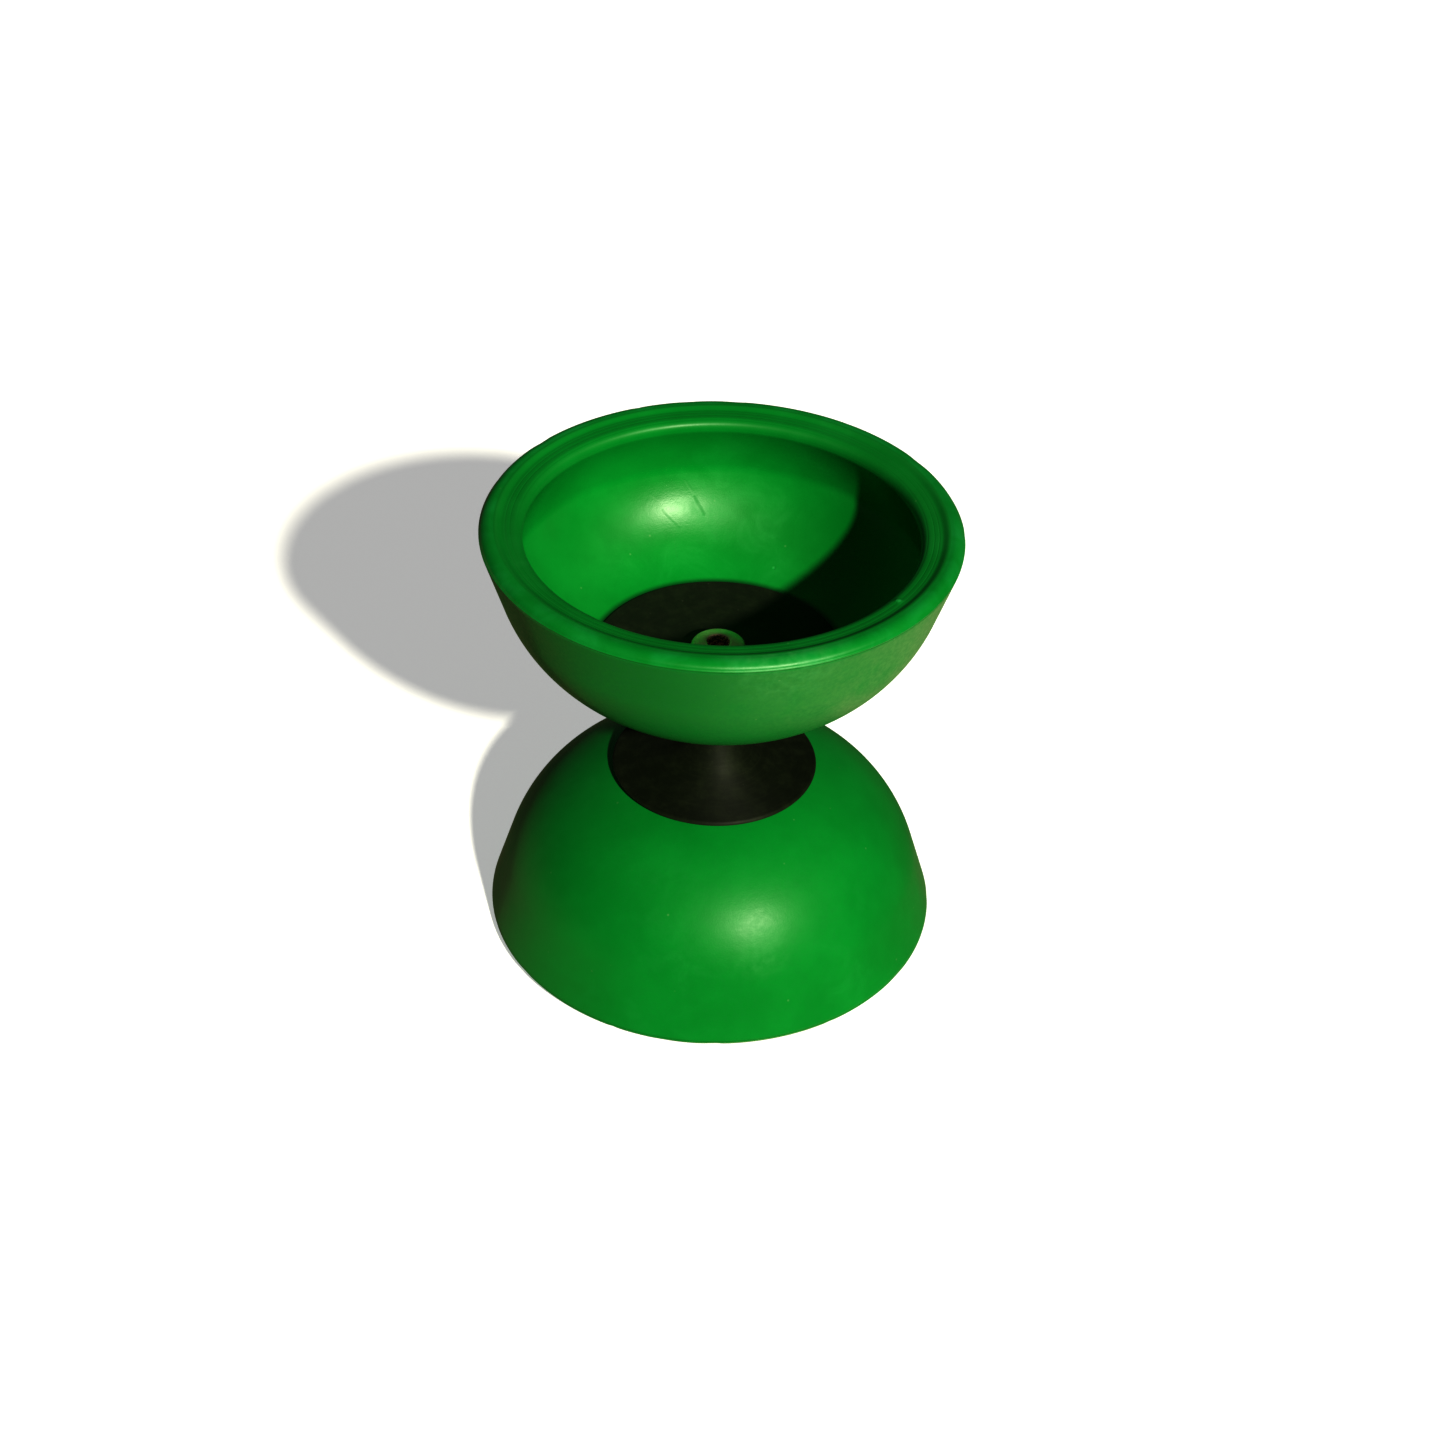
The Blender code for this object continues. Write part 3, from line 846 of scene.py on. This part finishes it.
def plated_steel(name, offset):
    """Dull zinc-plated steel with a rusty socket, its brightest rust flecks partly painted
    glints.
    """
    make = Shading(name)
    place = make.shifted(offset)
    rings, around, height = make.rings()
    mottle = make.noise(place, 900.0, 5.0, 0.7)
    blotch = make.noise(place, 330.0, 3.0)
    lines = make.noise(rings, 5200.0, 2.0)
    rust_grain = make.noise(place, 1500.0, 6.0, 0.75)
    inside = make.fade(around, SOCKET_MOUTH_RADIUS + 0.15 * MM, SOCKET_MOUTH_RADIUS - 0.2 * MM)
    sunk = make.fade(height, HEAD_TOP_Z - 0.02 * MM, HEAD_TOP_Z - 0.3 * MM)
    shank = make.fade(height, WASHER_HIGH_Z, WASHER_HIGH_Z + 0.2 * MM)
    socket = make.weighted(make.weighted(inside, sunk), shank)
    creep = make.weighted(make.fade(around, HEAD_RADIUS, SOCKET_MOUTH_RADIUS),
                          make.fade(rust_grain, 0.58, 0.72))
    rust = make.maths("MAXIMUM", make.weighted(socket, make.fade(rust_grain, 0.2, 0.45)),
                      make.weighted(creep, 0.5))

    zinc = make.mix(make.fade(blotch, 0.35, 0.65), (0.70, 0.68, 0.44, 1.0),
                    (0.84, 0.80, 0.56, 1.0))
    # Rust, with its brightest flecks partly painted glints
    rust_and_glints = make.mix(make.fade(rust_grain, 0.45, 0.6), (0.09, 0.045, 0.02, 1.0),
                     (1.0, 0.66, 0.34, 1.0))
    colour = make.mix(rust, zinc, rust_and_glints)
    metallic = make.fade(rust, 0.0, 0.8, 0.85, 0.1)
    roughness = make.sum(make.fade(mottle, 0.3, 0.7, 0.36, 0.5), make.weighted(rust, 0.3))
    normal = make.bumps((mottle, 0.012 * MM), (lines, 0.004 * MM),
                        (make.weighted(rust, rust_grain), 0.15 * MM))
    return make.finish(Base_Color=colour, Metallic=metallic, Roughness=roughness, Normal=normal)


def turned_steel(name, tint):
    """Bright turned steel with fine rings and smudges."""
    make = Shading(name)
    rings, _, _ = make.rings()
    lines = make.noise(rings, 4200.0, 3.0, 0.7)
    smudge = make.noise(make.place, 420.0, 4.0)
    smudged = tuple(x * 0.62 for x in tint[:3]) + (1.0,)
    colour = make.mix(make.fade(smudge, 0.35, 0.75), tint, smudged)
    roughness = make.sum(make.fade(smudge, 0.3, 0.7, 0.22, 0.36),
                         make.weighted(make.fade(lines, 0.4, 0.7), 0.1))
    normal = make.bumps((lines, 0.01 * MM))
    return make.finish(Base_Color=colour, Metallic=1.0, Roughness=roughness, Normal=normal)


# --- pieces -----------------------------------------------------------------

def place_piece(name, mesh, material, node, lower):
    """Stand a mesh in for a CAD node, turned over for the lower half."""
    mesh = mesh.copy()
    mesh.name = name
    mesh.materials.clear()
    mesh.materials.append(material)
    piece = bpy.data.objects.new(name, mesh)
    bpy.context.scene.collection.objects.link(piece)
    turn = Matrix.Rotation(math.pi, 4, "X") if lower else Matrix.Identity(4)
    piece.matrix_world = Matrix.Translation(MIDDLE) @ turn
    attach(piece, "root")
    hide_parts(node)


def build_pieces():
    """Every visible piece of the diabolo."""
    meshes = {
        "cup": cup_mesh(),
        "hub": hub_mesh(),
        "clamp_disc": disc_mesh(),
        "washer": washer_mesh(),
        "screw": screw_mesh(),
    }
    washer_tint = (0.50, 0.50, 0.46, 1.0)
    sides = (("upper", (0.0, 0.0, 0.0), 0.55, 0.5, 0.34),
             ("lower", (0.31, 0.17, 0.23), 0.15, 0.15, 0.23))
    for side, offset, film, stretch, shine in sides:
        materials = {
            "cup": green_rubber(f"{side}_green_rubber", offset, film, stretch, shine),
            "hub": black_plastic(f"{side}_black_plastic", offset, 0.25, 0.6),
            "clamp_disc": black_plastic(f"{side}_black_disc_plastic", offset, 0.5, 0.0),
            "washer": turned_steel(f"{side}_washer_steel", washer_tint),
            "screw": plated_steel(f"{side}_screw_steel", offset),
        }
        for kind, mesh in meshes.items():
            place_piece(f"{side}_{kind}_finished", mesh, materials[kind],
                        f"{side}_{kind}", side == "lower")
    axle_steel = turned_steel("axle_turned_steel", (0.58, 0.58, 0.59, 1.0))
    place_piece("axle_finished", axle_mesh(), axle_steel, "axle", False)


# --- floor, light and camera ------------------------------------------------

def add_floor():
    """A plain pale floor, clear when it is looked at from beneath."""
    mesh = bpy.data.meshes.new("floor")
    half = 30.0
    z = CAD_LOW.z
    mesh.from_pydata([(-half, -half, z), (half, -half, z), (half, half, z), (-half, half, z)],
                     [], [(0, 1, 2, 3)])
    floor = bpy.data.objects.new("floor", mesh)
    bpy.context.scene.collection.objects.link(floor)
    material = bpy.data.materials.new("pale_floor")
    material.use_nodes = True
    tree = material.node_tree
    shader = tree.nodes["Principled BSDF"]
    shader.inputs["Base Color"].default_value = (0.70, 0.71, 0.74, 1.0)
    shader.inputs["Roughness"].default_value = 0.9
    shader.inputs["Emission Color"].default_value = (1.0, 1.0, 1.0, 1.0)
    shader.inputs["Emission Strength"].default_value = 0.5
    clear = tree.nodes.new("ShaderNodeBsdfTransparent")
    side = tree.nodes.new("ShaderNodeNewGeometry")
    switch = tree.nodes.new("ShaderNodeMixShader")
    tree.links.new(side.outputs["Backfacing"], switch.inputs[0])
    tree.links.new(shader.outputs[0], switch.inputs[1])
    tree.links.new(clear.outputs[0], switch.inputs[2])
    tree.links.new(switch.outputs[0], tree.nodes["Material Output"].inputs["Surface"])
    mesh.materials.append(material)
    floor.visible_diffuse = False
    floor.visible_glossy = False


def direction(azimuth, elevation):
    """A unit vector towards an azimuth from +X and an elevation, in degrees."""
    a = math.radians(azimuth)
    e = math.radians(elevation)
    return Vector((math.cos(e) * math.cos(a), math.cos(e) * math.sin(a), math.sin(e)))


def add_key_light():
    """The key light: a small sun from the front right, aimed at the middle."""
    towards = direction(-62.6, 32.8)
    data = bpy.data.lights.new("key", "SUN")
    data.energy = 5.75
    data.color = (1.0, 0.95, 0.76)
    data.angle = math.radians(2.2)
    light = bpy.data.objects.new("key", data)
    light.location = MIDDLE + towards * 2.0
    light.rotation_euler = towards.to_track_quat("Z", "Y").to_euler()
    bpy.context.scene.collection.objects.link(light)


def make_surround():
    """A dim surround for the reflections, and a pale backdrop where it is seen directly.

    It is dark above, warm below and brighter on the key light's side, with a soft low
    band behind that fills the back without being reflected.
    """
    world = bpy.data.worlds.new("surround")
    world.use_nodes = True
    make = Nodes(world.node_tree)
    towards = make.node("ShaderNodeTexCoord").outputs["Generated"]
    parts = make.node("ShaderNodeSeparateXYZ", {0: towards}).outputs
    across = make.length(make.vector("MULTIPLY", towards, (1.0, 1.0, 0.0)))
    side = make.maths("DIVIDE", parts["X"], across)
    behind = make.maths("DIVIDE", parts["Y"], across)
    height = parts["Z"]
    level = make.weighted(make.fade(height, -0.45, -0.25), make.fade(height, 0.45, 0.25))
    light_path = make.node("ShaderNodeLightPath").outputs
    fill = make.weighted(make.fade(behind, 0.35, 0.9), level)
    fill = make.weighted(fill, light_path["Is Diffuse Ray"])
    near_ground = make.mix(make.fade(side, -0.12, 0.8), (0.36, 0.33, 0.155, 1.0),
                           (2.15, 1.76, 1.07, 1.0))
    far_ground = make.mix(make.fade(side, -0.97, -0.6), (0.80, 0.92, 0.44, 1.0),
                          (0.16, 0.14, 0.08, 1.0))
    ground = make.mix(make.fade(height, -0.8, -0.45), near_ground, far_ground)
    sky = make.mix(make.fade(height, 0.25, 0.8), (0.020, 0.022, 0.022, 1.0),
                   (0.085, 0.08, 0.07, 1.0))
    reflected = make.mix(make.fade(height, -0.1, 0.0), ground, sky)
    filled = make.mix(fill, reflected, (0.75, 0.80, 0.76, 1.0))
    colour = make.mix(light_path["Is Camera Ray"], filled, (0.86, 0.87, 0.89, 1.0))
    make.feed(world.node_tree.nodes["Background"].inputs["Color"], colour)
    return world


def add_camera():
    """The camera: high in front, a little rolled, with a long lens."""
    elevation = math.radians(37.77)
    roll = math.radians(2.08)
    distance = 0.626
    aim_right = 1.73 * MM
    aim_down = 1.23 * MM
    back = Vector((0.0, -math.cos(elevation), math.sin(elevation)))
    level_up = Vector((0.0, math.sin(elevation), math.cos(elevation)))
    level_right = Vector((1.0, 0.0, 0.0))
    right = level_right * math.cos(roll) + level_up * math.sin(roll)
    up = level_up * math.cos(roll) - level_right * math.sin(roll)
    data = bpy.data.cameras.new("camera")
    data.lens = 60.63
    data.clip_start = 0.01
    data.clip_end = 100.0
    camera = bpy.data.objects.new("camera", data)
    rotation = Matrix((right, up, back)).transposed().to_4x4()
    aim = MIDDLE + right * aim_right - up * aim_down
    camera.matrix_world = Matrix.Translation(aim + back * distance) @ rotation
    scene = bpy.context.scene
    scene.collection.objects.link(camera)
    scene.camera = camera
    scene.view_settings.view_transform = "Standard"
    scene.view_settings.gamma = 0.667


build_pieces()
add_floor()
add_key_light()
bpy.context.scene.world = make_surround()
add_camera()

bpy.context.view_layer.update()
